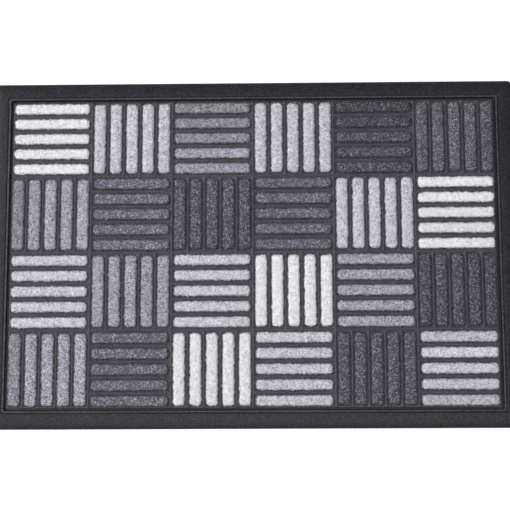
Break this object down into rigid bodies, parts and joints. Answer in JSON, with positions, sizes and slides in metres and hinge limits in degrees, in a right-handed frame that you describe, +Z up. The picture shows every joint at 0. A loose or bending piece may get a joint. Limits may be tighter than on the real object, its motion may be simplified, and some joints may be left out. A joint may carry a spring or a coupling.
{
  "type": "door mat",
  "caption": "Rectangular moulded rubber door mat with a ramped border and grey carpet bars in a basket weave, parted by thin rubber ribs.",
  "frame": {"origin": "middle of the flat underside, on the floor", "axes": "+X along the mat's length, +Y across it, +Z up from the floor to the pile"},
  "size_m": [0.6, 0.4, 0.008],
  "materials": {
    "moulded_rubber": "satin moulded rubber, dark grey",
    "pile_white": "fibrous pile, white",
    "pile_light_grey": "fibrous pile, heather light grey",
    "pile_mid_grey": "fibrous pile, heather mid grey",
    "pile_dark_grey": "fibrous pile, heather dark grey",
    "pile_charcoal": "fibrous pile, heather charcoal"
  },
  "bodies": {
    "root": {"rubber_base": "moulded_rubber", "rib_lattice": "moulded_rubber", "carpet_block_r1c1": "pile_white", "carpet_block_r1c2": "pile_light_grey", "carpet_block_r1c3": "pile_mid_grey", "carpet_block_r1c4": "pile_light_grey", "carpet_block_r1c5": "pile_charcoal", "carpet_block_r1c6": "pile_dark_grey", "carpet_block_r2c1": "pile_mid_grey", "carpet_block_r2c2": "pile_dark_grey", "carpet_block_r2c3": "pile_charcoal", "carpet_block_r2c4": "pile_dark_grey", "carpet_block_r2c5": "pile_light_grey", "carpet_block_r2c6": "pile_white", "carpet_block_r3c1": "pile_light_grey", "carpet_block_r3c2": "pile_mid_grey", "carpet_block_r3c3": "pile_light_grey", "carpet_block_r3c4": "pile_white", "carpet_block_r3c5": "pile_mid_grey", "carpet_block_r3c6": "pile_charcoal", "carpet_block_r4c1": "pile_mid_grey", "carpet_block_r4c2": "pile_dark_grey", "carpet_block_r4c3": "pile_white", "carpet_block_r4c4": "pile_light_grey", "carpet_block_r4c5": "pile_charcoal", "carpet_block_r4c6": "pile_light_grey"}
  },
  "joints": []
}
